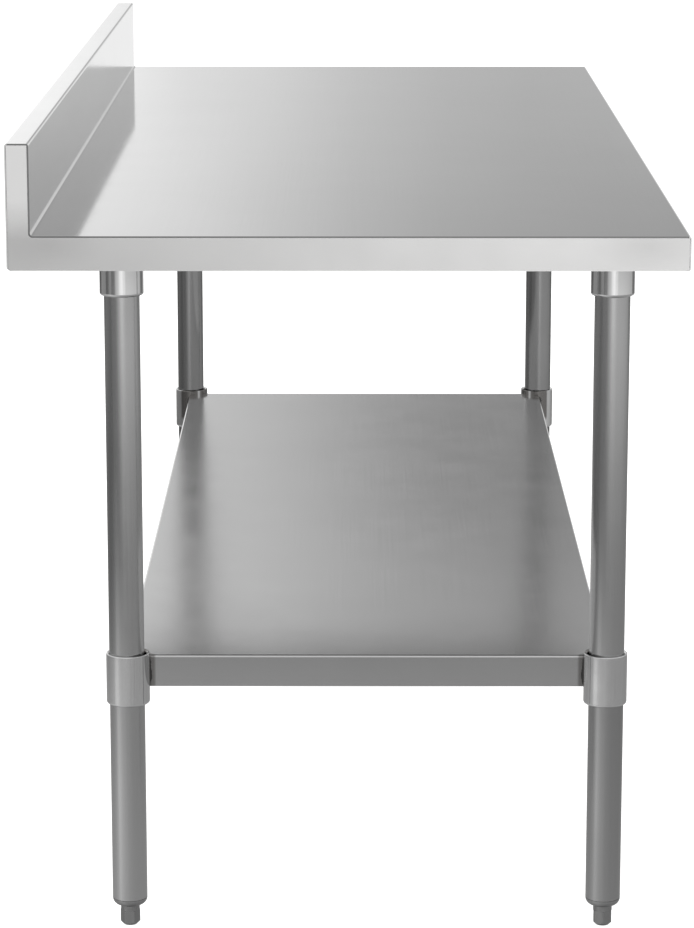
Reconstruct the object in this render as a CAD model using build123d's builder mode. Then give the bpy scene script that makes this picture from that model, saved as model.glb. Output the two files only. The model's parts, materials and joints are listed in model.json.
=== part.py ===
from build123d import *

import os
from math import copysign, sqrt

# Stainless steel work table: a formed worktop with a raised rear backsplash, four tubular legs
# with screw-in levelling feet, and an undershelf whose collars slide on the legs.
#
# Frame: the origin is on the floor under the middle of the table, +X runs along its length,
# +Y towards the backsplash and +Z up. All lengths are millimetres.

# --- Driving dimensions -------------------------------------------------------------------

LENGTH = 1828.8             # table length, 72 in
DEPTH = 762.0               # table depth, 30 in
TOP_HEIGHT = 846.0          # floor to worktop
SPLASH_RISE = 103.0         # worktop to the top of the backsplash
SPLASH_DEPTH = 27.0
APRON = 39.0                # turned-down edge of the worktop
TOP_SHEET = 1.5             # 16 gauge
TOP_BEND = 3.0              # outside radius of the worktop's bends
REAR_CORNER = 4.5           # outside radius at the foot of the rear skirt
LIP = 12.0                  # stiffening return at the bottom of an apron
LIP_CUT_BACK = 14.0         # the worktop's lips stop this far short of its ends
PANEL_EDGE_ROUND = 0.6      # rounding of an end panel's outer edge
SEAM = 0.15                 # gap between two pieces that are fixed face to face

LEG_X = 799.0               # leg centres, from the middle of the table
FRONT_LEG_Y = -302.5
REAR_LEG_Y = 261.0
LEG_RADIUS = 20.65          # 1-5/8 in tube
LEG_WALL = 1.5
LEG_BOTTOM = 34.0
LEG_TOP_GAP = 2.0           # between a leg's top and its socket's flange
LEG_EDGE_ROUND = 0.5

COLLAR_RADIUS = 25.5        # outside of the leg sockets and of the shelf sleeves
SOCKET_BOTTOM = 761.0
SOCKET_ROUND = 3.5
SOCKET_SCREW_RISE = 20.0    # set screw above the socket's lower edge
SOCKET_PLATE = 76.0         # side of the socket's bolting flange
SOCKET_PLATE_CORNER = 8.0
SOCKET_PLATE_THICK = 3.0
SOCKET_BOLT_SPACING = 56.0

CHANNEL_SHEET = 1.5
CHANNEL_BEND = 2.0
CHANNEL_FLANGE = 20.0
CROSS_CHANNEL_WEB = 80.0
LONG_CHANNEL_WEB = 50.0
CHANNEL_RISE = 23.5         # from the flange's top face to the web's top face
SHELF_CHANNEL_RISE = 18.0
CHANNEL_LIP_GAP = 3.0       # between the cross channels and the worktop's front lip
CHANNEL_SPLASH_GAP = 6.0    # the cross channels stop this far short of the backsplash
LONG_CHANNEL_GAP = 4.0      # between the long channel and the cross channels' flanges
SHELF_CHANNEL_GAP = 8.0     # between the shelf's channel and the lips at the shelf's ends
PUNCH_DEPTH = 2.5           # deep enough for a punched hole to pass through a channel's sheet
CROSS_STUD_Y = (-330.0, -20.75, 300.0)
LONG_STUD_X = (-600.0, -300.0, 0.0, 300.0, 600.0)
STUD_REACH = 10.0           # how far a weld stud hangs below the sheet it is welded to
STUD_CHAMFER = 0.5

SHELF_TOP = 329.0
SHELF_APRON = 38.0          # turned-down edge of the shelf
SHELF_SHEET = 1.2           # 18 gauge
SHELF_BEND = 2.5
SHELF_HALF_LENGTH = 788.5
SHELF_OVERHANG = 1.5        # how far the shelf's sides stand outside the leg centre lines
SLEEVE_BOTTOM = 274.5
SLEEVE_TOP = 335.5
SLEEVE_ROUND = 3.0
SLEEVE_RIM_ROUND = 0.8
SLEEVE_SHIFT = 1.2          # the shelf's sleeves sit this far nearer the middle than the legs do
SLEEVE_CLEARANCE = 0.35     # between a leg and the near side of its sleeve's bore
SLEEVE_MOUTH = 23.8         # radius of the countersunk mouth at the sleeve's top
SLEEVE_SCREW_RISE = 7.6     # set screw above the sleeve's lower edge
WELD_RADIUS = 3.2
WELD_END_GAP = 1.0          # a bead stops this far from the shelf's bend and lower edge

INSERT_BOTTOM = 25.2
INSERT_DOME = 8.6           # radius of the insert's rounded shoulder
INSERT_PLUG_LENGTH = 42.0
STUD_RADIUS = 7.94          # 5/8 in thread, drawn at its outside diameter
RUNNING_FIT = 0.06          # radial clearance of the stud in the insert and in the foot
STUD_BOTTOM = 8.0
STUD_TOP = 70.0
FOOT_STUD_CHAMFER = 1.0
FOOT_ACROSS_FLATS = 21.0
FOOT_CORNER = 3.0           # rounding of the hexagon's corners
FOOT_HEX_HEIGHT = 18.0
FOOT_RIM_RADIUS = 11.2      # round rim above the hexagon
FOOT_PAD_RADIUS = 7.8       # flat that stands on the floor
FOOT_BEVEL = 3.4
FOOT_TOP_GAP = 0.3          # between the foot and the insert when the foot is screwed home
FOOT_TURN = {"front_left": 0.0, "rear_left": 30.0, "front_right": 41.0, "rear_right": 12.0}

M6_RADIUS = 3.0
M6_HOLE = 3.3
M6_NUT_FLATS = 10.0
M6_NUT_HEIGHT = 5.0
M6_HEAD_HEIGHT = 4.0
BOLT_SHOWS = 2.0            # thread that stands out past a nut
SET_SCREW_RADIUS = 3.1
SET_SCREW_SOCKET = 3.0      # across the flats of the hexagonal socket
SET_SCREW_SOCKET_DEPTH = 2.5
SCREW_TIP_GAP = 0.35        # between a set screw's tip and the leg

# --- Dimensions that follow from them ------------------------------------------------------

HALF_LENGTH = LENGTH / 2
FRONT = -DEPTH / 2
REAR = DEPTH / 2
SPLASH_FRONT = REAR - SPLASH_DEPTH
SPLASH_TOP = TOP_HEIGHT + SPLASH_RISE
APRON_BOTTOM = TOP_HEIGHT - APRON
TOP_UNDERSIDE = TOP_HEIGHT - TOP_SHEET

CORNERS = {
    "front_left": (-LEG_X, FRONT_LEG_Y),
    "rear_left": (-LEG_X, REAR_LEG_Y),
    "front_right": (LEG_X, FRONT_LEG_Y),
    "rear_right": (LEG_X, REAR_LEG_Y),
}
SLEEVES = {corner: (x, y - copysign(SLEEVE_SHIFT, y)) for corner, (x, y) in CORNERS.items()}
LEG_MIDDLE_Y = (FRONT_LEG_Y + REAR_LEG_Y) / 2

CHANNEL_TOP = TOP_UNDERSIDE - SEAM
CHANNEL_BOTTOM = CHANNEL_TOP - CHANNEL_RISE - CHANNEL_SHEET
SOCKET_PLATE_TOP = CHANNEL_BOTTOM - SEAM
SOCKET_PLATE_BOTTOM = SOCKET_PLATE_TOP - SOCKET_PLATE_THICK
LEG_TOP = SOCKET_PLATE_BOTTOM - LEG_TOP_GAP
CROSS_CHANNEL_REACH = (FRONT + LIP + CHANNEL_LIP_GAP, SPLASH_FRONT - CHANNEL_SPLASH_GAP)
LONG_CHANNEL_HALF = LEG_X - CROSS_CHANNEL_WEB / 2 - CHANNEL_FLANGE - LONG_CHANNEL_GAP

SHELF_DEPTH = REAR_LEG_Y - FRONT_LEG_Y + 2 * SHELF_OVERHANG
SHELF_BOTTOM = SHELF_TOP - SHELF_APRON
SHELF_CHANNEL_TOP = SHELF_TOP - SHELF_SHEET - SEAM
SHELF_CHANNEL_HALF = SHELF_HALF_LENGTH - LIP - SHELF_CHANNEL_GAP
COLLAR_CUT = COLLAR_RADIUS + SEAM
SLEEVE_BORE = LEG_RADIUS + SLEEVE_SHIFT + SLEEVE_CLEARANCE

os.makedirs("parts", exist_ok=True)


def write_piece(piece, name):
    """Label one finished piece and write it to its own STEP file."""
    piece.part.label = name
    export_step(piece.part, f"parts/{name}.step")


def worktop_skin(drop=0.0):
    """Corner points, in Y and Z, of the worktop's outer skin, from rear skirt foot to apron foot."""
    foot = APRON_BOTTOM - drop
    return [(REAR, foot), (REAR, SPLASH_TOP), (SPLASH_FRONT, SPLASH_TOP),
            (SPLASH_FRONT, TOP_HEIGHT), (FRONT, TOP_HEIGHT), (FRONT, foot)]


def hat_section(plane, web, rise):
    """Hat-shaped channel section: flange tops on the plane's x axis, web below them."""
    side = web / 2
    tip = side + CHANNEL_FLANGE
    with BuildSketch(plane) as section:
        with BuildLine():
            FilletPolyline((-tip, 0), (-side, 0), (-side, -rise), (side, -rise), (side, 0), (tip, 0),
                           radius=CHANNEL_BEND)
            offset(amount=CHANNEL_SHEET, side=Side.RIGHT)
        make_face()
    return section.sketch


def upright_plane(x, y):
    """Vertical plane through a leg's axis, with its origin on the floor."""
    return Plane(origin=(x, y, 0), x_dir=(1, 0, 0), z_dir=(0, -1, 0))


def inward_plane(x, y, z, radius):
    """Plane that faces the table's middle from a collar's side, at a radius from the leg's axis."""
    inward = -copysign(1.0, x)
    return Plane(origin=(x + inward * radius, y, z), z_dir=(inward, 0, 0))


# --- Worktop, with its apron, backsplash and rear skirt in one formed sheet ------------------

rear_foot, *skin, front_foot = worktop_skin()
lip_points = [(REAR - LIP, APRON_BOTTOM), rear_foot, *skin, front_foot, (FRONT + LIP, APRON_BOTTOM)]

with BuildPart() as worktop:
    with BuildSketch(Plane.YZ):
        with BuildLine():
            FilletPolyline(*lip_points, radius=[REAR_CORNER] + [TOP_BEND] * 5)
            offset(amount=TOP_SHEET, side=Side.LEFT)
        make_face()
    extrude(amount=HALF_LENGTH, both=True)
    # The lips stop short of the ends, where the end panels have lips of their own.
    with Locations((0, 0, APRON_BOTTOM)):
        with GridLocations(LENGTH, DEPTH - 2 * TOP_SHEET - LIP, 2, 2):
            Box(2 * LIP_CUT_BACK, LIP, 2 * REAR_CORNER, mode=Mode.SUBTRACT)
write_piece(worktop, "worktop")

# --- End panels: L-shaped faces welded inside the ends of the worktop sheet ------------------

PANEL_INSET = TOP_SHEET + SEAM

with BuildPart() as left_end_panel:
    with BuildSketch(Plane.YZ.offset(-HALF_LENGTH)):
        with BuildLine():
            FilletPolyline(*worktop_skin(drop=PANEL_INSET), close=True,
                           radius=[REAR_CORNER] + [TOP_BEND] * 5)
        make_face()
        offset(amount=-PANEL_INSET)
    extrude(amount=TOP_SHEET)
    panel_face = left_end_panel.faces().sort_by(Axis.X)[0]
    fillet(panel_face.edges().sort_by(Axis.Z)[1:], radius=PANEL_EDGE_ROUND)
    with BuildSketch(Plane.XY.offset(APRON_BOTTOM)):
        with Locations((-HALF_LENGTH, 0)):
            Rectangle(LIP, DEPTH - 2 * PANEL_INSET - 2 * REAR_CORNER, align=(Align.MIN, Align.CENTER))
    extrude(amount=TOP_SHEET)
write_piece(left_end_panel, "left_end_panel")

with BuildPart() as right_end_panel:
    mirror(left_end_panel.part, about=Plane.YZ)
write_piece(right_end_panel, "right_end_panel")

# --- Hat channels under the worktop, with their weld studs and nuts --------------------------

cross_length = CROSS_CHANNEL_REACH[1] - CROSS_CHANNEL_REACH[0]
cross_stud_x = CROSS_CHANNEL_WEB / 2 + CHANNEL_FLANGE / 2
long_stud_y = LONG_CHANNEL_WEB / 2 + CHANNEL_FLANGE / 2
cross_stud_places = {leg_x: [(leg_x + x, y) for x in (-cross_stud_x, cross_stud_x) for y in CROSS_STUD_Y]
                     for leg_x in (-LEG_X, LEG_X)}
long_stud_places = [(x, LEG_MIDDLE_Y + y) for x in LONG_STUD_X for y in (-long_stud_y, long_stud_y)]

for side, channel_x in (("left", -LEG_X), ("right", LEG_X)):
    with BuildPart() as cross_channel:
        channel_end = Plane(origin=(channel_x, CROSS_CHANNEL_REACH[0], CHANNEL_TOP),
                            x_dir=(-1, 0, 0), z_dir=(0, 1, 0))
        extrude(hat_section(channel_end, CROSS_CHANNEL_WEB, CHANNEL_RISE), amount=cross_length)
        with Locations(*[(x, y, CHANNEL_TOP) for x, y in cross_stud_places[channel_x]]):
            Hole(M6_HOLE, depth=PUNCH_DEPTH)
        for leg_y in (FRONT_LEG_Y, REAR_LEG_Y):
            with Locations((channel_x, leg_y, CHANNEL_TOP - CHANNEL_RISE)):
                with GridLocations(SOCKET_BOLT_SPACING, SOCKET_BOLT_SPACING, 2, 2):
                    Hole(M6_HOLE, depth=PUNCH_DEPTH)
    write_piece(cross_channel, f"cross_channel_{side}")

with BuildPart() as long_channel:
    channel_end = Plane(origin=(-LONG_CHANNEL_HALF, LEG_MIDDLE_Y, CHANNEL_TOP),
                        x_dir=(0, 1, 0), z_dir=(1, 0, 0))
    extrude(hat_section(channel_end, LONG_CHANNEL_WEB, CHANNEL_RISE), amount=2 * LONG_CHANNEL_HALF)
    with Locations(*[(x, y, CHANNEL_TOP) for x, y in long_stud_places]):
        Hole(M6_HOLE, depth=PUNCH_DEPTH)
write_piece(long_channel, "long_channel")

top_stud_places = cross_stud_places[-LEG_X] + cross_stud_places[LEG_X] + long_stud_places

for name, places, sheet_underside in (
        ("channel", top_stud_places, TOP_UNDERSIDE),
        ("shelf_channel", long_stud_places, SHELF_TOP - SHELF_SHEET)):
    nut_top = sheet_underside - 2 * SEAM - CHANNEL_SHEET
    with BuildPart() as studs:
        with BuildSketch(Plane.XY.offset(sheet_underside - STUD_REACH)):
            with Locations(*places):
                Circle(M6_RADIUS)
        extrude(amount=STUD_REACH)
        chamfer(studs.edges().group_by(Axis.Z)[0], length=STUD_CHAMFER)
    write_piece(studs, f"{name}_studs")
    with BuildPart() as nuts:
        with BuildSketch(Plane.XY.offset(nut_top - M6_NUT_HEIGHT)):
            with Locations(*places):
                RegularPolygon(M6_NUT_FLATS / 2, 6, major_radius=False)
                Circle(M6_RADIUS + SEAM, mode=Mode.SUBTRACT)
        extrude(amount=M6_NUT_HEIGHT)
    write_piece(nuts, f"{name}_nuts")

# --- Leg sockets: a collar with a square flange that bolts to the cross channel --------------

SOCKET_SCREW_Z = SOCKET_BOTTOM + SOCKET_SCREW_RISE
SLEEVE_SCREW_Z = SLEEVE_BOTTOM + SLEEVE_SCREW_RISE

for corner, (x, y) in CORNERS.items():
    with BuildPart() as socket:
        with BuildSketch(Plane((x, y, SOCKET_BOTTOM))):
            Circle(COLLAR_RADIUS)
        extrude(amount=SOCKET_PLATE_BOTTOM - SOCKET_BOTTOM)
        fillet(socket.edges().group_by(Axis.Z)[0], radius=SOCKET_ROUND)
        with BuildSketch(Plane((x, y, SOCKET_PLATE_BOTTOM))):
            RectangleRounded(SOCKET_PLATE, SOCKET_PLATE, SOCKET_PLATE_CORNER)
        extrude(amount=SOCKET_PLATE_THICK)
        with BuildSketch(Plane((x, y, SOCKET_BOTTOM))):
            Circle(LEG_RADIUS + SEAM)
        extrude(amount=SOCKET_PLATE_BOTTOM - SOCKET_BOTTOM, mode=Mode.SUBTRACT)
        with Locations((x, y, SOCKET_PLATE_TOP)):
            with GridLocations(SOCKET_BOLT_SPACING, SOCKET_BOLT_SPACING, 2, 2):
                Hole(M6_HOLE, depth=SOCKET_PLATE_THICK)
        with BuildSketch(inward_plane(x, y, SOCKET_SCREW_Z, LEG_RADIUS)):
            Circle(SET_SCREW_RADIUS + SEAM)
        extrude(amount=COLLAR_RADIUS, mode=Mode.SUBTRACT)
    write_piece(socket, f"leg_socket_{corner}")

BOLT_TOP = CHANNEL_TOP - CHANNEL_RISE + M6_NUT_HEIGHT + BOLT_SHOWS

with BuildPart() as socket_bolts:
    for x, y in CORNERS.values():
        with BuildSketch(Plane((x, y, SOCKET_PLATE_BOTTOM - SEAM))):
            with GridLocations(SOCKET_BOLT_SPACING, SOCKET_BOLT_SPACING, 2, 2):
                RegularPolygon(M6_NUT_FLATS / 2, 6, major_radius=False)
        extrude(amount=-M6_HEAD_HEIGHT)
        with BuildSketch(Plane((x, y, SOCKET_PLATE_BOTTOM - SEAM))):
            with GridLocations(SOCKET_BOLT_SPACING, SOCKET_BOLT_SPACING, 2, 2):
                Circle(M6_RADIUS)
        extrude(amount=BOLT_TOP - SOCKET_PLATE_BOTTOM)
write_piece(socket_bolts, "socket_bolts")

with BuildPart() as socket_nuts:
    for x, y in CORNERS.values():
        with BuildSketch(Plane((x, y, CHANNEL_TOP - CHANNEL_RISE + SEAM))):
            with GridLocations(SOCKET_BOLT_SPACING, SOCKET_BOLT_SPACING, 2, 2):
                RegularPolygon(M6_NUT_FLATS / 2, 6, major_radius=False)
                Circle(M6_RADIUS + SEAM, mode=Mode.SUBTRACT)
        extrude(amount=M6_NUT_HEIGHT)
write_piece(socket_nuts, "socket_nuts")

# --- Set screws that lock the legs in the sockets and the sleeves on the legs ----------------

for name, screw_z in (("socket", SOCKET_SCREW_Z), ("sleeve", SLEEVE_SCREW_Z)):
    with BuildPart() as set_screws:
        for x, y in CORNERS.values():
            tip_plane = inward_plane(x, y, screw_z, LEG_RADIUS + SCREW_TIP_GAP)
            screw_length = COLLAR_RADIUS - LEG_RADIUS
            with BuildSketch(tip_plane):
                Circle(SET_SCREW_RADIUS)
            extrude(amount=screw_length)
            with BuildSketch(tip_plane.offset(screw_length)):
                RegularPolygon(SET_SCREW_SOCKET / 2, 6, major_radius=False)
            extrude(amount=-SET_SCREW_SOCKET_DEPTH, mode=Mode.SUBTRACT)
    write_piece(set_screws, f"{name}_set_screws")

# --- Legs, and the levelling feet that screw into them ---------------------------------------

for corner, (x, y) in CORNERS.items():
    with BuildPart() as leg:
        with BuildSketch(Plane((x, y, LEG_BOTTOM))):
            Circle(LEG_RADIUS)
            Circle(LEG_RADIUS - LEG_WALL, mode=Mode.SUBTRACT)
        extrude(amount=LEG_TOP - LEG_BOTTOM)
        fillet(leg.edges().group_by(Axis.Z)[0].sort_by(SortBy.LENGTH)[-1], radius=LEG_EDGE_ROUND)
    write_piece(leg, f"leg_{corner}")

    with BuildPart() as foot_insert:
        with BuildSketch(Plane((x, y, INSERT_BOTTOM))):
            Circle(LEG_RADIUS)
        extrude(amount=LEG_BOTTOM - SEAM - INSERT_BOTTOM)
        fillet(foot_insert.edges().group_by(Axis.Z)[0], radius=INSERT_DOME)
        with BuildSketch(Plane((x, y, LEG_BOTTOM - SEAM))):
            Circle(LEG_RADIUS - LEG_WALL - SEAM)
        extrude(amount=INSERT_PLUG_LENGTH)
        with Locations((x, y, LEG_BOTTOM)):
            Hole(STUD_RADIUS + RUNNING_FIT)
    write_piece(foot_insert, f"foot_insert_{corner}")

    with BuildPart() as foot_stud:
        with BuildSketch(Plane((x, y, STUD_BOTTOM))):
            Circle(STUD_RADIUS)
        extrude(amount=STUD_TOP - STUD_BOTTOM)
        chamfer(foot_stud.edges().filter_by(GeomType.CIRCLE), length=FOOT_STUD_CHAMFER)
    write_piece(foot_stud, f"foot_stud_{corner}")

    foot_top = INSERT_BOTTOM - FOOT_TOP_GAP
    with BuildPart() as foot:
        with BuildSketch(Plane((x, y, 0))) as hexagon:
            RegularPolygon(FOOT_ACROSS_FLATS / 2, 6, major_radius=False, rotation=FOOT_TURN[corner])
            fillet(hexagon.vertices(), radius=FOOT_CORNER)
        extrude(amount=FOOT_HEX_HEIGHT)
        with BuildSketch(Plane((x, y, FOOT_HEX_HEIGHT))):
            Circle(FOOT_RIM_RADIUS)
        extrude(amount=foot_top - FOOT_HEX_HEIGHT)
        # A cone bevels the hexagon's corners where it stands on the floor.
        with BuildSketch(upright_plane(x, y)):
            with BuildLine():
                Polyline((0, 0), (FOOT_PAD_RADIUS, 0), (FOOT_PAD_RADIUS + FOOT_BEVEL, FOOT_BEVEL),
                         (FOOT_ACROSS_FLATS, 2 * FOOT_BEVEL), (FOOT_ACROSS_FLATS, foot_top),
                         (0, foot_top), close=True)
            make_face()
        revolve(axis=Axis((x, y, 0), (0, 0, 1)), mode=Mode.INTERSECT)
        with Locations((x, y, foot_top)):
            Hole(STUD_RADIUS + RUNNING_FIT, depth=INSERT_BOTTOM - STUD_BOTTOM)
    write_piece(foot, f"foot_{corner}")

# --- Undershelf: a shallow tray, open below, with its corners cut round the sleeves ----------

with BuildPart() as undershelf:
    with BuildSketch(Plane((0, LEG_MIDDLE_Y, SHELF_BOTTOM))):
        Rectangle(2 * SHELF_HALF_LENGTH, SHELF_DEPTH)
    extrude(amount=SHELF_APRON)
    fillet(undershelf.edges().group_by(Axis.Z)[-1], radius=SHELF_BEND)
    offset(amount=-SHELF_SHEET, openings=undershelf.faces().sort_by(Axis.Z)[0])
    with BuildSketch(Plane((0, LEG_MIDDLE_Y, SHELF_BOTTOM))):
        Rectangle(2 * SHELF_HALF_LENGTH, SHELF_DEPTH)
        Rectangle(2 * (SHELF_HALF_LENGTH - LIP), SHELF_DEPTH - 2 * LIP, mode=Mode.SUBTRACT)
    extrude(amount=SHELF_SHEET)
    with BuildSketch(Plane.XY.offset(SHELF_BOTTOM)):
        with Locations(*SLEEVES.values()):
            Circle(COLLAR_CUT)
    extrude(amount=SHELF_APRON, mode=Mode.SUBTRACT)
write_piece(undershelf, "undershelf")

with BuildPart() as shelf_channel:
    channel_end = Plane(origin=(-SHELF_CHANNEL_HALF, LEG_MIDDLE_Y, SHELF_CHANNEL_TOP),
                        x_dir=(0, 1, 0), z_dir=(1, 0, 0))
    extrude(hat_section(channel_end, LONG_CHANNEL_WEB, SHELF_CHANNEL_RISE),
            amount=2 * SHELF_CHANNEL_HALF)
    with Locations(*[(x, y, SHELF_CHANNEL_TOP) for x, y in long_stud_places]):
        Hole(M6_HOLE, depth=PUNCH_DEPTH)
write_piece(shelf_channel, "shelf_channel")

for corner, (x, y) in SLEEVES.items():
    with BuildPart() as sleeve:
        with BuildSketch(Plane((x, y, SLEEVE_BOTTOM))):
            Circle(COLLAR_RADIUS)
        extrude(amount=SLEEVE_TOP - SLEEVE_BOTTOM)
        fillet(sleeve.edges().group_by(Axis.Z)[0], radius=SLEEVE_ROUND)
        fillet(sleeve.edges().group_by(Axis.Z)[-1], radius=SLEEVE_RIM_ROUND)
        with Locations((x, y, SLEEVE_TOP)):
            CounterSinkHole(SLEEVE_BORE, SLEEVE_MOUTH)
        leg_x, leg_y = CORNERS[corner]
        with BuildSketch(inward_plane(leg_x, leg_y, SLEEVE_SCREW_Z, LEG_RADIUS)):
            Circle(SET_SCREW_RADIUS + SEAM)
        extrude(amount=COLLAR_RADIUS, mode=Mode.SUBTRACT)
    write_piece(sleeve, f"sleeve_{corner}")

# Weld beads fill the corners between each sleeve and the shelf's end and side aprons.
with BuildPart() as sleeve_welds:
    with BuildSketch(Plane.XY.offset(SHELF_BOTTOM + WELD_END_GAP)):
        for x, y in SLEEVES.values():
            end_x = copysign(SHELF_HALF_LENGTH, x)
            side_y = LEG_MIDDLE_Y + copysign(SHELF_DEPTH / 2, y)
            end_reach = sqrt(COLLAR_RADIUS ** 2 - (end_x - x) ** 2)
            side_reach = sqrt(COLLAR_RADIUS ** 2 - (side_y - y) ** 2)
            with Locations((end_x, y - copysign(end_reach, y)), (x - copysign(side_reach, x), side_y)):
                Circle(WELD_RADIUS)
        with Locations(*SLEEVES.values()):
            Circle(COLLAR_RADIUS, mode=Mode.SUBTRACT)
        with Locations((0, LEG_MIDDLE_Y)):
            Rectangle(2 * SHELF_HALF_LENGTH, SHELF_DEPTH, mode=Mode.SUBTRACT)
    extrude(amount=SHELF_APRON - SHELF_BEND - 2 * WELD_END_GAP)
write_piece(sleeve_welds, "sleeve_welds")
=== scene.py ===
import json
from math import copysign, cos, radians, sin, sqrt, tau
from random import Random

import bmesh
import bpy
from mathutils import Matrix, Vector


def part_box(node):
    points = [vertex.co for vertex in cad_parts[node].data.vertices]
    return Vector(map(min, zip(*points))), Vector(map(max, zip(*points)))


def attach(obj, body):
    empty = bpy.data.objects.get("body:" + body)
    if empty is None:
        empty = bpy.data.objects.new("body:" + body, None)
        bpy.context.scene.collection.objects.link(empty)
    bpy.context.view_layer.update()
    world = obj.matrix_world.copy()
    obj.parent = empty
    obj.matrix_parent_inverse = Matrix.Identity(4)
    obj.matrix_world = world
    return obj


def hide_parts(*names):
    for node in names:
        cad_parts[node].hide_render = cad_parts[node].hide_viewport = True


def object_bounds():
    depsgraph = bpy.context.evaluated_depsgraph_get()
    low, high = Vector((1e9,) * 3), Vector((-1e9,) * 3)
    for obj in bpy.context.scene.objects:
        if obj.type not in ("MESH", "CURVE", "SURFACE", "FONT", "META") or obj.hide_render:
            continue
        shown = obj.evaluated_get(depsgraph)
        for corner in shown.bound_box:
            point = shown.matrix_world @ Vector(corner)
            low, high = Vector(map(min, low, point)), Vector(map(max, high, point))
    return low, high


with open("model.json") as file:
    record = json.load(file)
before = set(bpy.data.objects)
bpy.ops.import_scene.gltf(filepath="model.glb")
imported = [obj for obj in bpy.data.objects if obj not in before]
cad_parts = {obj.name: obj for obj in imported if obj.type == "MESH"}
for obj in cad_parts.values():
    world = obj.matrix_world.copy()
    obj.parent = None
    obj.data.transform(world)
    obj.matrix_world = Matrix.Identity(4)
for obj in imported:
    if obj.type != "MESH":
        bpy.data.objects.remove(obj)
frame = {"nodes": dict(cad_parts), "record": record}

# Looks of a stainless steel work table. Metres, in the part's own frame: +X along the table,
# +Y towards the backsplash, +Z up, with the origin on the floor under the middle.

cad_box = [list(map(float, corner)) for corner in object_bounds()]

CORNERS = ("front_left", "rear_left", "front_right", "rear_right")
TABLE_END = cad_box[1][0]
SPLASH_RISE = 0.103             # worktop to the top of the backsplash
SURFACE = cad_box[1][2] - SPLASH_RISE
SHEET = 0.0015                  # thickness of the worktop's sheet
SKIRT_FRONT = cad_box[1][1] - 2 * SHEET     # the rear skirt is all there is behind this

THREAD_PITCH = 0.0254 / 11
THREAD_DEPTH = 0.0011
FLANK = 1.25                    # steepness of the thread's flanks, which leaves its root flat
STEPS_PER_PITCH = 8
STUD_SEGMENTS = 40

WELD_RADIUS = 0.0044
WELD_REACH = 0.0046             # at most, so that a bead stays inside its sleeve's wall
WELD_MARGIN = 0.0012            # a bead stops this far above the shelf's lower edge
WELD_TOP_GAP = 0.0030           # and this far below its top, which is bent over
PUDDLES = 7
PUDDLE_REACH = 0.006            # how far up and down a puddle swells its bead
RIPPLES = 9
RIPPLE_HEIGHT = 0.06            # as a share of the bead's radius
LEAN = 0.16                     # the same, for how far the bead wanders to its sides
WELD_ROWS = 44
WELD_SEGMENTS = 20


def middle_and_radius(node):
    """Middle, in X and Y, and radius of an upright round node."""
    low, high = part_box(node)
    return (low[0] + high[0]) / 2, (low[1] + high[1]) / 2, (high[1] - low[1]) / 2


def shelf_sides():
    """Where the shelf ends in X, its middle in Y, and its half width."""
    low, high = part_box("undershelf")
    return high[0], (low[1] + high[1]) / 2, (high[1] - low[1]) / 2


def weld_places(corner):
    """Where one sleeve meets the shelf's end edge and its side edge, in X and Y."""
    x, y, radius = middle_and_radius(f"sleeve_{corner}")
    end, middle_y, half_width = shelf_sides()
    end_x = copysign(end, x)
    side_y = middle_y + copysign(half_width, y)
    end_reach = sqrt(radius ** 2 - (end_x - x) ** 2)
    side_reach = sqrt(radius ** 2 - (side_y - y) ** 2)
    return [(end_x, y - copysign(end_reach, y)), (x - copysign(side_reach, x), side_y)]


# --- Node helpers ---------------------------------------------------------------------------

EDGE_RADIUS = 0.0012
SHARP, SMOOTH = 0.75, 0.97      # how alike the rounded and the true direction of a surface are
BUMP_DEPTH = 0.0002


def grey(value, warmth=0.0):
    """A grey, a little yellower when it's warm."""
    return (value * (1 + warmth), value, value * (1 - warmth))


class Nodes:
    """Builds a node tree with short calls."""

    def __init__(self, tree):
        self.tree = tree

    def add(self, kind, **settings):
        node = self.tree.nodes.new(kind)
        for key, value in settings.items():
            setattr(node, key, value)
        return node

    def link(self, output, node, socket):
        self.tree.links.new(output, node.inputs[socket])

    def fill(self, node, values):
        """Gives a node's sockets, in order, a number, a vector or a link each."""
        for socket, value in enumerate(values):
            if isinstance(value, (int, float, tuple)):
                node.inputs[socket].default_value = value
            else:
                self.link(value, node, socket)

    def math(self, operation, *values, clamp=False):
        node = self.add("ShaderNodeMath", operation=operation, use_clamp=clamp)
        self.fill(node, values)
        return node.outputs[0]

    def split(self, vector):
        """X, Y and Z of a vector."""
        node = self.add("ShaderNodeSeparateXYZ")
        self.link(vector, node, "Vector")
        return node.outputs


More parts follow.
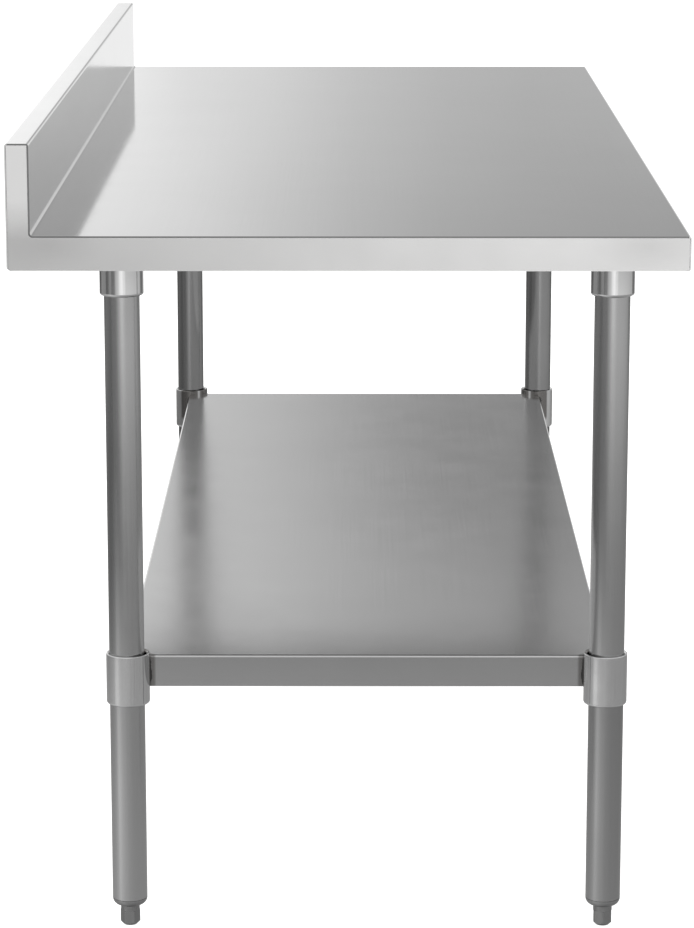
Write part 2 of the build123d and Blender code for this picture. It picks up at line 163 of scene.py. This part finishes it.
class MaterialNodes(Nodes):
    """Builds one material."""

    def __init__(self, name):
        self.material = bpy.data.materials.new(name)
        self.material.use_nodes = True
        super().__init__(self.material.node_tree)
        self.shader = self.tree.nodes["Principled BSDF"]
        self.place = self.add("ShaderNodeTexCoord").outputs["Object"]

    def vector(self, operation, *values):
        node = self.add("ShaderNodeVectorMath", operation=operation)
        self.fill(node, values)
        return node.outputs["Value" if operation in ("DISTANCE", "DOT_PRODUCT") else "Vector"]

    def noise(self, grain=(1.0, 1.0, 1.0), size=1.0, detail=4.0, roughness=0.55):
        """Noise that is drawn out where grain is small."""
        texture = self.add("ShaderNodeTexNoise")
        texture.inputs["Scale"].default_value = size
        texture.inputs["Detail"].default_value = detail
        texture.inputs["Roughness"].default_value = roughness
        self.link(self.vector("MULTIPLY", self.place, grain), texture, "Vector")
        return texture.outputs["Fac"]

    def remap(self, value, low, high, from_low=0.3, from_high=0.7):
        """Value spread over low ... high, and held there; noise mostly stays in 0.3 ... 0.7."""
        node = self.add("ShaderNodeMapRange")
        self.fill(node, (value, from_low, from_high, low, high))
        return node.outputs["Result"]

    def rise(self, value, start, full):
        """0 up to start, 1 from full on."""
        return self.remap(value, 0.0, 1.0, start, full)

    def fall(self, value, full, end):
        """1 up to full, 0 from end on."""
        return self.remap(value, 1.0, 0.0, full, end)

    def tint(self, value, dark, light):
        """A colour between dark and light, by value."""
        ramp = self.add("ShaderNodeValToRGB")
        ramp.color_ramp.elements[0].color = (*dark, 1.0)
        ramp.color_ramp.elements[1].color = (*light, 1.0)
        self.link(value, ramp, "Fac")
        return ramp.outputs["Color"]

    def shade(self, colour, mask, towards):
        """Colour multiplied by another one where the mask is 1."""
        node = self.add("ShaderNodeMix", data_type="RGBA", blend_type="MULTIPLY")
        factor, first, second = node.inputs[0], node.inputs[6], node.inputs[7]
        self.tree.links.new(mask, factor)
        self.tree.links.new(colour, first)
        second.default_value = (*towards, 1.0)
        return node.outputs[2]

    def edges(self):
        """1 on sharp edges, 0 on flat and gently curved surfaces."""
        bevel = self.add("ShaderNodeBevel", samples=4)
        bevel.inputs["Radius"].default_value = EDGE_RADIUS
        true_normal = self.add("ShaderNodeNewGeometry").outputs["Normal"]
        likeness = self.vector("DOT_PRODUCT", bevel.outputs["Normal"], true_normal)
        return self.fall(likeness, SHARP, SMOOTH)

    def bump(self, height, strength):
        node = self.add("ShaderNodeBump")
        node.inputs["Strength"].default_value = strength
        node.inputs["Distance"].default_value = BUMP_DEPTH
        self.link(height, node, "Height")
        self.link(node.outputs["Normal"], self.shader, "Normal")


# --- Brushed metal --------------------------------------------------------------------------

# Grain of the brushing: fine across the lay and long along it, or even in all directions.
GRAIN_X = (3.0, 900.0, 900.0)
GRAIN_Y = (900.0, 3.0, 900.0)
GRAIN_Z = (900.0, 900.0, 3.0)
COARSE = (30.0, 30.0, 30.0)
MEDIUM = (90.0, 90.0, 90.0)
FINE = (240.0, 240.0, 240.0)
# Directions of the polishing lines, tilted a little so that no large face is square to them.
LINES_X = (1.0, 0.0, 0.2)
LINES_Y = (0.1, 1.0, 0.0)
LINES_Z = (0.1, 0.0, 1.0)
QUARTER_TURN = 0.25
STREAK_SHARE = 0.55             # of the colour's unevenness; clouds make up the rest
WORN_SHINE = grey(1.14)
DULL_STEP = 0.07                # how much rougher a dull stretch is


def brushed_metal(name, dark, light, grain, rough, streak=0.02, bump=0.05, warmth=0.0,
                  lay=None, spread=0.0, turn=0.0, worn=True, marks=(), duller=None, metal=1.0):
    """Satin steel: fine streaks along the grain, faint clouding, and wipe marks in the roughness.

    The polishing lines run along lay and scatter light by spread across it, or along it after a
    quarter turn. Worn edges are brighter and smoother. Each mark is a function that gives a mask,
    and its colour. Duller is a function that gives the mask of a rougher stretch.
    """
    nodes = MaterialNodes(name)
    nodes.shader.inputs["Metallic"].default_value = metal
    if lay:
        nodes.shader.inputs["Anisotropic"].default_value = spread
        nodes.shader.inputs["Anisotropic Rotation"].default_value = turn
        normal = nodes.add("ShaderNodeNewGeometry").outputs["Normal"]
        nodes.link(nodes.vector("CROSS_PRODUCT", normal, lay), nodes.shader, "Tangent")

    streaks = nodes.noise(grain, detail=6.0, roughness=0.7)
    clouds = nodes.noise(size=4.0, detail=3.0)
    fingers = nodes.noise(size=17.0, detail=5.0)
    mixed = nodes.math("ADD", nodes.math("MULTIPLY", streaks, STREAK_SHARE),
                       nodes.math("MULTIPLY", clouds, 1 - STREAK_SHARE))
    colour = nodes.tint(nodes.rise(mixed, 0.35, 0.65), grey(dark, warmth), grey(light, warmth))
    smear = nodes.math("ADD", nodes.remap(streaks, -streak, streak),
                       nodes.remap(fingers, -streak, streak))
    roughness = nodes.math("ADD", smear, rough)

    if worn:
        edges = nodes.edges()
        colour = nodes.shade(colour, edges, WORN_SHINE)
        roughness = nodes.math("SUBTRACT", roughness, nodes.math("MULTIPLY", edges, rough / 3))
    if duller:
        step = nodes.math("MULTIPLY", duller(nodes), DULL_STEP)
        roughness = nodes.math("ADD", roughness, step)
    for mask, towards in marks:
        colour = nodes.shade(colour, mask(nodes), towards)

    nodes.link(colour, nodes.shader, "Base Color")
    nodes.link(roughness, nodes.shader, "Roughness")
    nodes.bump(streaks, bump)
    return nodes.material


# --- Marks and painted shade on the metal ---------------------------------------------------
# Each of these functions gives a mask: 1 where the mark is full, and 0 away from it.

DULL_START, DULL_FULL = 0.002, 0.006        # above the worktop
BEND_FULL, BEND_TOP = 0.0007, 0.0028        # above the worktop
LOW_DARK_FULL, LOW_DARK_TOP = 0.28, 0.34          # above the floor
CORNER_SHADE_IN, CORNER_SHADE_UP = 0.045, 0.028         # from the end panel's rear and lower edges
CORNER_SHADE_STRETCH = (1.0, 0.7, 1.6)            # the painted shade is long in Y and low in Z
CORNER_SHADE_REACH = 0.045
SHADE_START, SHADE_FULL = -0.25, 0.36       # in Y
SHADE_LOW, SHADE_TOP = -0.005, 0.040        # above the worktop
SHOULDER_LIFT = 0.0005                      # above the plug's lower end
HEAT_SHADE_START, HEAT_SHADE_FULL = -0.004, 0.002       # above the shelf's lower edge
SHELF_HEAT_SHADE, SLEEVE_HEAT_SHADE = 0.0065, 0.0125    # out from a bead's middle
HEAT_SHADE_FADE = 0.003


def backsplash(nodes):
    """The worktop sheet's upright parts, which are not polished by use as its flat top is."""
    _, y, z = nodes.split(nodes.place)
    upright = nodes.rise(z, SURFACE + DULL_START, SURFACE + DULL_FULL)
    skirt = nodes.math("GREATER_THAN", y, SKIRT_FRONT)
    return nodes.math("MAXIMUM", upright, skirt)


def splash_bend_painted_shade(nodes):
    """Painted shade on the tight bend at the backsplash's foot, dimming the upper part of the
    bright line that the bend mirrors.
    """
    _, y, z = nodes.split(nodes.place)
    above = nodes.rise(z, SURFACE, SURFACE + BEND_FULL)
    below = nodes.math("LESS_THAN", z, SURFACE + BEND_TOP)
    front = nodes.math("LESS_THAN", y, SKIRT_FRONT)
    return nodes.math("MULTIPLY", nodes.math("MULTIPLY", above, below), front)


def front_legs_darker_low(nodes):
    """The front legs are darker below the shelf."""
    _, y, z = nodes.split(nodes.place)
    low = nodes.fall(z, LOW_DARK_FULL, LOW_DARK_TOP)
    front = nodes.math("LESS_THAN", y, 0.0)
    return nodes.math("MULTIPLY", low, front)


def right_legs_painted_shade(nodes):
    """Painted shade on the two legs at the right-hand end, which are darkened as a whole."""
    x, _, _ = nodes.split(nodes.place)
    return nodes.math("GREATER_THAN", x, 0.0)


def cut_end(nodes):
    """The sawn end of the worktop's sheet, which shows as a dark line round the end panels."""
    x, y, _ = nodes.split(nodes.vector("ABSOLUTE", nodes.place))
    at_end = nodes.math("GREATER_THAN", x, TABLE_END - SHEET / 2)
    off_rear = nodes.math("LESS_THAN", y, SKIRT_FRONT)
    return nodes.math("MULTIPLY", at_end, off_rear)


def corner_painted_shade(nodes):
    """Painted shade near the end panel's inner corner, next to the backsplash."""
    panel_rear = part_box("left_end_panel")[1][1]
    panel_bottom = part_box("worktop")[0][2]
    corner = (TABLE_END, panel_rear - CORNER_SHADE_IN, panel_bottom + CORNER_SHADE_UP)
    stretched_corner = tuple(a * b for a, b in zip(corner, CORNER_SHADE_STRETCH))
    stretched = nodes.vector("MULTIPLY", nodes.vector("ABSOLUTE", nodes.place), CORNER_SHADE_STRETCH)
    return nodes.fall(nodes.vector("DISTANCE", stretched, stretched_corner), 0.0, CORNER_SHADE_REACH)


def rear_painted_shade(nodes):
    """Painted shade: the end panel's lower part is darker towards its rear."""
    _, y, z = nodes.split(nodes.place)
    rear = nodes.rise(y, SHADE_START, SHADE_FULL)
    low = nodes.fall(z, SURFACE + SHADE_LOW, SURFACE + SHADE_TOP)
    return nodes.math("MULTIPLY", rear, low)


def plug_shoulder(nodes):
    """The plug's domed shoulder is nearly as bright as the leg it closes, and the foot darker."""
    _, _, z = nodes.split(nodes.place)
    plug_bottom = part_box("foot_insert_rear_left")[0][2]
    return nodes.math("GREATER_THAN", z, plug_bottom + SHOULDER_LIFT)


def heat_tint_and_gap_shade(nodes, reach=SHELF_HEAT_SHADE):
    """Heat discolouring beside the weld beads, together with painted shade of the gap there, full
    as far as reach.
    """
    shelf_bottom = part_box("undershelf")[0][2]
    _, middle_y, _ = shelf_sides()
    centred = nodes.vector("SUBTRACT", nodes.place, (0.0, middle_y, 0.0))
    flat = nodes.vector("MULTIPLY", centred, (1.0, 1.0, 0.0))
    folded = nodes.vector("ABSOLUTE", flat)
    masks = []
    for x, y in weld_places("rear_right"):
        distance = nodes.vector("DISTANCE", folded, (x, y - middle_y, 0.0))
        masks.append(nodes.fall(distance, reach, reach + HEAT_SHADE_FADE))
    _, _, z = nodes.split(nodes.place)
    level = nodes.rise(z, shelf_bottom + HEAT_SHADE_START, shelf_bottom + HEAT_SHADE_FULL)
    return nodes.math("MULTIPLY", nodes.math("MAXIMUM", *masks), level)


def wide_heat_tint_and_gap_shade(nodes):
    """The same on the sleeves, whose thicker wall was heated longer, with painted shade of the gap
    beside each bead.
    """
    return heat_tint_and_gap_shade(nodes, reach=SLEEVE_HEAT_SHADE)


# --- Materials ------------------------------------------------------------------------------

SLOT_MATERIALS = {
    "satin_sheet": brushed_metal(
        "worktop_steel", 0.62, 0.67, GRAIN_X, 0.075, streak=0.01, bump=0.012,
        lay=LINES_X, spread=0.5, duller=backsplash,
        # the splash bend's mark is painted shade over the bright line that the bend mirrors
        marks=[(cut_end, grey(0.30)), (splash_bend_painted_shade, grey(0.68))]),
    "end_panel": brushed_metal(
        "panel_steel", 0.78, 0.83, GRAIN_Y, 0.19, streak=0.01, bump=0.003, warmth=0.004,
        lay=LINES_Y, spread=0.4,
        # both marks on the end panel are painted shade
        marks=[(corner_painted_shade, grey(0.86)), (rear_painted_shade, grey(0.74))]),
    "shelf_sheet": brushed_metal(
        "shelf_steel", 0.53, 0.58, GRAIN_X, 0.17, streak=0.015, bump=0.02,
        # the shelf's mark is heat discolouring with painted shade of the gap beside each bead
        lay=LINES_X, spread=0.75, marks=[(heat_tint_and_gap_shade, (0.52, 0.51, 0.50))]),
    "leg_tube": brushed_metal(
        "leg_steel", 0.51, 0.55, GRAIN_Z, 0.20, streak=0.01, bump=0.006,
        # the right-hand legs' mark is painted shade
        lay=LINES_Z, spread=0.7, marks=[(front_legs_darker_low, grey(0.80)), (right_legs_painted_shade, grey(0.64))]),
    "polished_collar": brushed_metal(
        "collar_steel", 0.66, 0.74, GRAIN_Z, 0.10, streak=0.01, bump=0.01, worn=False),
    "sleeve_collar": brushed_metal(
        "sleeve_steel", 0.68, 0.79, GRAIN_Z, 0.13, streak=0.03, bump=0.04,
        lay=LINES_Z, spread=0.5, turn=QUARTER_TURN,
        # the sleeves' mark is heat discolouring with painted shade of the gap beside each bead
        marks=[(wide_heat_tint_and_gap_shade, (0.30, 0.29, 0.28))]),
    "foot_metal": brushed_metal(
        "foot_steel", 0.28, 0.35, GRAIN_Z, 0.32, streak=0.04, bump=0.04,
        marks=[(plug_shoulder, grey(1.22))]),
    "galvanised": brushed_metal("galvanised_steel", 0.40, 0.62, COARSE, 0.42, streak=0.06),
    "fasteners": brushed_metal("zinc_steel", 0.48, 0.62, MEDIUM, 0.28),
    "weld_bead": brushed_metal(
        "weld_steel", 0.010, 0.05, FINE, 0.60, streak=0.1, bump=0.8, warmth=0.02,
        worn=False, metal=0.3),
}

for subpart in frame["record"]["subparts"]:
    node = frame["nodes"][subpart["node"]]
    node.data.materials.clear()
    node.data.materials.append(SLOT_MATERIALS[subpart["material_slot"]])


# --- Pieces that the CAD model draws plain --------------------------------------------------

def lathe(name, x, y, heights, radius_at, segments, slot):
    """Closed round piece: one ring of points at each height, with radius_at(height, angle)."""
    angles = [tau * i / segments for i in range(segments)]
    shape = bmesh.new()
    rings = []
    for z in heights:
        radii = [radius_at(z, angle) for angle in angles]
        rings.append([shape.verts.new((x + radius * cos(angle), y + radius * sin(angle), z))
                      for radius, angle in zip(radii, angles)])
    for lower, upper in zip(rings, rings[1:]):
        for i in range(segments):
            j = (i + 1) % segments
            shape.faces.new((lower[i], lower[j], upper[j], upper[i]))
    shape.faces.new(reversed(rings[0]))
    shape.faces.new(rings[-1])

    mesh = bpy.data.meshes.new(name)
    shape.to_mesh(mesh)
    shape.free()
    for face in mesh.polygons:
        face.use_smooth = len(face.vertices) == 4
    mesh.materials.append(SLOT_MATERIALS[slot])
    piece = bpy.data.objects.new(name, mesh)
    bpy.context.scene.collection.objects.link(piece)
    return piece


def even_heights(bottom, top, rows):
    """Heights of a lathe piece's rings, one more than its rows of faces."""
    return [bottom + (top - bottom) * row / rows for row in range(rows + 1)]


def threaded_stud(corner):
    """Foot stud with its real thread, seen when the foot is screwed out."""
    node = f"foot_stud_{corner}"
    x, y, radius = middle_and_radius(node)
    bottom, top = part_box(node)[0][2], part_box(node)[1][2]
    rows = int((top - bottom) / THREAD_PITCH * STEPS_PER_PITCH)

    def radius_at(z, angle):
        phase = (z / THREAD_PITCH - angle / tau) % 1.0
        depth = THREAD_DEPTH * min(1.0, FLANK * abs(2 * phase - 1))
        from_end = min(z - bottom, top - z)
        return min(radius - depth, radius - 2 * THREAD_DEPTH + from_end)

    heights = even_heights(bottom, top, rows)
    piece = lathe(f"threaded_{node}", x, y, heights, radius_at, STUD_SEGMENTS, "fasteners")
    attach(piece, f"stud_{corner}")
    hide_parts(node)


def weld_bead(name, x, y, random):
    """One lumpy upright bead of overlapping puddles."""
    low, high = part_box("undershelf")
    bottom, top = low[2] + WELD_MARGIN, high[2] - WELD_TOP_GAP
    puddles = [(random.uniform(bottom, top), random.uniform(0.6, 1.0))
               for _ in range(PUDDLES)]
    sway, swell, swirl, _ = [random.uniform(-LEAN, LEAN) for _ in range(4)]

    def radius_at(z, angle):
        along = (z - bottom) / (top - bottom)
        ends = sqrt(max(0.02, 1 - abs(2 * along - 1) ** 6))
        ripple = RIPPLE_HEIGHT * sin(tau * along * RIPPLES + 0.8 * sin(angle))
        lumps = max(size * max(0.0, 1 - abs(z - place) / PUDDLE_REACH) for place, size in puddles)
        side = sway * sin(angle + 9 * along) + swell * sin(2 * angle + swirl * 20 * along)
        return min(WELD_REACH, WELD_RADIUS * ends * (0.68 + 0.3 * lumps + ripple + side))

    heights = even_heights(bottom, top, WELD_ROWS)
    return lathe(name, x, y, heights, radius_at, WELD_SEGMENTS, "weld_bead")


def all_weld_beads():
    """Two beads at each sleeve, on the shelf's end edge and on its side edge."""
    random = Random(7)
    for corner in CORNERS:
        for edge, (x, y) in zip(("end", "side"), weld_places(corner)):
            bead = weld_bead(f"weld_bead_{corner}_{edge}", x, y, random)
            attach(bead, "shelf")
            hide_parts("sleeve_welds")


for corner in CORNERS:
    threaded_stud(corner)
all_weld_beads()


# --- Floor, light and camera ----------------------------------------------------------------

def plain_floor():
    """White floor. The metal reflects the studio instead of it, so that it keeps its contrast."""
    bpy.ops.mesh.primitive_plane_add(size=120.0)
    floor = bpy.context.object
    floor.name = "studio_floor"
    floor.visible_glossy = False
    nodes = MaterialNodes("studio_floor")
    nodes.shader.inputs["Roughness"].default_value = 0.9
    nodes.shader.inputs["Specular IOR Level"].default_value = 0.0
    haze = nodes.remap(nodes.noise(size=0.6), 0.0, 1.0)
    nodes.link(nodes.tint(haze, grey(0.30), grey(0.32)), nodes.shader, "Base Color")
    nodes.shader.inputs["Emission Color"].default_value = (1.0, 1.0, 1.0, 1.0)
    nodes.shader.inputs["Emission Strength"].default_value = 1.0
    floor.data.materials.append(nodes.material)


def ceiling_light():
    """One wide soft lamp straight above, which the metal doesn't mirror."""
    data = bpy.data.lights.new("ceiling_light", "AREA")
    data.size = 9.0
    data.energy = 900.0
    lamp = bpy.data.objects.new("ceiling_light", data)
    bpy.context.scene.collection.objects.link(lamp)
    lamp.visible_glossy = False
    lamp.location = (0.0, 0.0, 6.0)


# The studio around the table, as rings of brightness by compass direction: 0 degrees is +X,
# beyond the table's far end, 90 is +Y, behind the backsplash, and 180 is -X, behind the camera.
# Each ring holds at its own height in degrees, and neighbouring rings blend between them.
NEAR_GLOW = [
    (-180, 1.00), (-150, 0.90), (-60, 0.80), (-12, 0.64), (-2.6, 0.66), (-0.6, 0.71), (0.4, 0.78),
    (1.9, 0.92), (10, 1.20), (30, 1.10), (60, 0.90), (150, 0.90), (180, 1.00)]
GLOW = [
    (-180, 1.00), (-150, 0.90), (-60, 0.80), (-12, 0.38), (-1.6, 0.40), (-0.6, 0.50), (0.4, 0.82),
    (1.2, 1.04), (2.0, 1.22), (10, 1.45), (30, 1.30), (60, 0.90), (150, 0.90), (180, 1.00)]
SKY = [
    (-180, 1.00), (-150, 0.90), (-40, 0.90), (-12, 0.85), (-8, 0.60), (-5.8, 0.46), (-4.4, 0.485),
    (-3.7, 0.485), (-1.6, 0.54), (0.6, 0.665), (2.1, 0.83), (3.6, 0.98), (10, 1.30), (30, 1.20),
    (60, 0.90), (150, 0.90), (180, 1.00)]
LOW_SKY = [
    (-180, 1.00), (-150, 0.90), (-40, 0.90), (-12, 0.98), (-8, 0.84), (-6, 0.74), (-5, 0.66),
    (-4.3, 0.52), (-3.7, 0.485), (-1.6, 0.54), (0.6, 0.665), (2.1, 0.83), (3.5, 0.84),
    (4.9, 1.20), (10, 1.40), (30, 1.20), (60, 0.90), (150, 0.90), (180, 1.00)]
HORIZON = [
    (-180, 1.10), (-172, 1.15), (-168, 0.45), (-150, 0.36), (-40, 0.36), (-14, 0.60), (-7, 1.00),
    (0, 1.00), (8, 0.60), (20, 0.20), (40, 0.10), (60, 0.10), (85, 0.15), (120, 0.27),
    (150, 0.36), (168, 0.45), (172, 0.92), (176, 0.98), (180, 1.10)]
STRIPES = [
    (-180, 1.32), (-160, 1.25), (-155, 0.72), (-110, 0.70), (-66, 0.60), (-62, 0.10),
    (-38, 0.10), (-32, 0.60), (0, 0.90), (24, 0.90), (29, 0.10), (53, 0.10), (57, 0.42),
    (93, 0.42), (96, 0.10), (111, 0.10), (115, 0.36), (127, 0.36), (131, 0.06), (146, 0.06),
    (152, 0.60), (170, 1.00), (174, 1.15), (180, 1.32)]
SIDES = [
    (-180, 1.45), (-162, 1.52), (-135, 1.40), (-108, 1.15), (-72, 0.72), (-45, 0.30), (0, 0.40),
    (46, 0.34), (91, 0.22), (121, 0.26), (149, 0.60), (165, 1.05), (174, 1.35), (180, 1.45)]
WALLS = [
    (-180, 0.16), (-150, 0.24), (-90, 0.30), (-45, 0.30), (0, 0.40), (46, 0.20), (60, 0.14),
    (120, 0.12), (150, 0.10), (180, 0.16)]
GROUND = [
    (-180, 0.54), (-166, 0.47), (-143, 0.39), (-90, 0.37), (-52, 0.34), (0, 0.40), (60, 0.40),
    (85, 0.50), (104, 0.64), (116, 1.12), (126, 1.22), (137, 0.98), (150, 0.82), (160, 0.74),
    (171, 0.66), (180, 0.54)]
FLOOR = [
    (-180, 0.50), (-143, 0.45), (-63, 0.42), (0, 0.42), (75, 0.52), (104, 0.66), (116, 0.78),
    (137, 0.64), (150, 0.58), (170, 0.54), (180, 0.50)]
RINGS = [
    (-19.3, FLOOR), (-17.2, GROUND), (-15.9, GROUND), (-15.0, WALLS), (-12.2, WALLS),
    (-10.3, SIDES), (-9.5, STRIPES), (-8.2, HORIZON), (-3.0, HORIZON), (2.0, LOW_SKY),
    (6.2, LOW_SKY), (7.6, SKY), (8.7, SKY), (13.0, GLOW), (15.5, NEAR_GLOW)]
# The rings' brightness is multiplied by this, by height. The last ring goes on to the zenith.
HEIGHT_FALL = [
    (-90, 0.60), (-45, 0.85), (-20, 0.97), (4, 1.00), (5.9, 1.02), (8.7, 0.90), (11.3, 0.65),
    (13.0, 0.66), (14.6, 0.74), (15.6, 0.90), (18.5, 0.94), (24, 0.76), (40, 0.92), (90, 1.00)]
# The sky is darker straight ahead, high up, where the rounded near ends reflect it.
DARK_HEIGHTS = [(-90, 0.0), (21, 0.0), (27, 0.95), (68, 0.95), (80, 0.0), (90, 0.0)]
DARK_HEADINGS = [(-180, 0.0), (-30, 0.0), (-16, 1.0), (16, 1.0), (30, 0.0), (180, 0.0)]
BRIGHTEST = 2.0                 # a colour ramp holds 0 ... 1, so it's scaled by this


class SkyNodes(Nodes):
    """Builds the studio's brightness from angles in degrees."""

    def share(self, angle, low, high):
        """0 at the low angle, 1 at the high one."""
        return self.math("DIVIDE", self.math("SUBTRACT", angle, low), high - low, clamp=True)

    def by_angle(self, angle, limit, stops):
        """Brightness read from stops, as the angle goes from -limit to limit."""
        ramp = self.add("ShaderNodeValToRGB")
        elements = ramp.color_ramp.elements
        while len(elements) < len(stops):
            elements.new(0.5)
        for element, (degrees, level) in zip(elements, stops):
            element.position = (degrees + limit) / (2 * limit)
            element.color = (*grey(level / BRIGHTEST), 1.0)
        self.link(self.share(angle, -limit, limit), ramp, "Fac")
        return self.math("MULTIPLY", ramp.outputs["Color"], BRIGHTEST)

    def by_heading(self, heading, stops):
        return self.by_angle(heading, 180, stops)

    def by_height(self, height, stops):
        return self.by_angle(height, 90, stops)

    def blend(self, factor, first, second):
        """First where the factor is 0, second where it's 1."""
        step = self.math("MULTIPLY", factor, self.math("SUBTRACT", second, first))
        return self.math("ADD", first, step)


def studio_world():
    """Rings of light that the metal mirrors. The camera itself sees plain white behind."""
    world = bpy.data.worlds.new("studio")
    bpy.context.scene.world = world
    world.use_nodes = True
    sky = SkyNodes(world.node_tree)

    x, y, z = sky.split(sky.add("ShaderNodeTexCoord").outputs["Generated"])
    heading = sky.math("DEGREES", sky.math("ARCTAN2", y, x))
    height = sky.math("DEGREES", sky.math("ARCSINE", z))
    below, ring = RINGS[0]
    level = sky.by_heading(heading, ring)
    for above, ring in RINGS[1:]:
        level = sky.blend(sky.share(height, below, above), level, sky.by_heading(heading, ring))
        below = above
    level = sky.math("MULTIPLY", level, sky.by_height(height, HEIGHT_FALL))
    dark = sky.math("MULTIPLY", sky.by_height(height, DARK_HEIGHTS),
                    sky.by_heading(heading, DARK_HEADINGS))
    level = sky.math("MULTIPLY", level, sky.math("SUBTRACT", 1.0, dark))

    background = sky.tree.nodes["Background"]
    background.inputs["Color"].default_value = (1.0, 1.0, 1.0, 1.0)
    seen = sky.add("ShaderNodeLightPath").outputs["Is Camera Ray"]
    sky.link(sky.blend(seen, level, 1.0), background, "Strength")


CAMERA_PLACE = (-4.7095, -0.0096, 1.4246)
CAMERA_DOWN = 12.441            # degrees below level
CAMERA_LEFT = 0.175             # degrees left of +X
SENSOR, LENS = 36.0, 133.9      # millimetres


def photo_camera():
    """Camera beyond the table's left end, at eye height, looking slightly down along the table."""
    data = bpy.data.cameras.new("camera")
    camera = bpy.data.objects.new("camera", data)
    bpy.context.scene.collection.objects.link(camera)
    bpy.context.scene.camera = camera
    camera.location = CAMERA_PLACE
    camera.rotation_euler = (radians(90.0 - CAMERA_DOWN), 0.0, radians(CAMERA_LEFT - 90.0))
    data.sensor_width = SENSOR
    data.lens = LENS
    data.clip_end = 100.0


plain_floor()
studio_world()
ceiling_light()
photo_camera()

bpy.context.scene.view_settings.view_transform = "Standard"
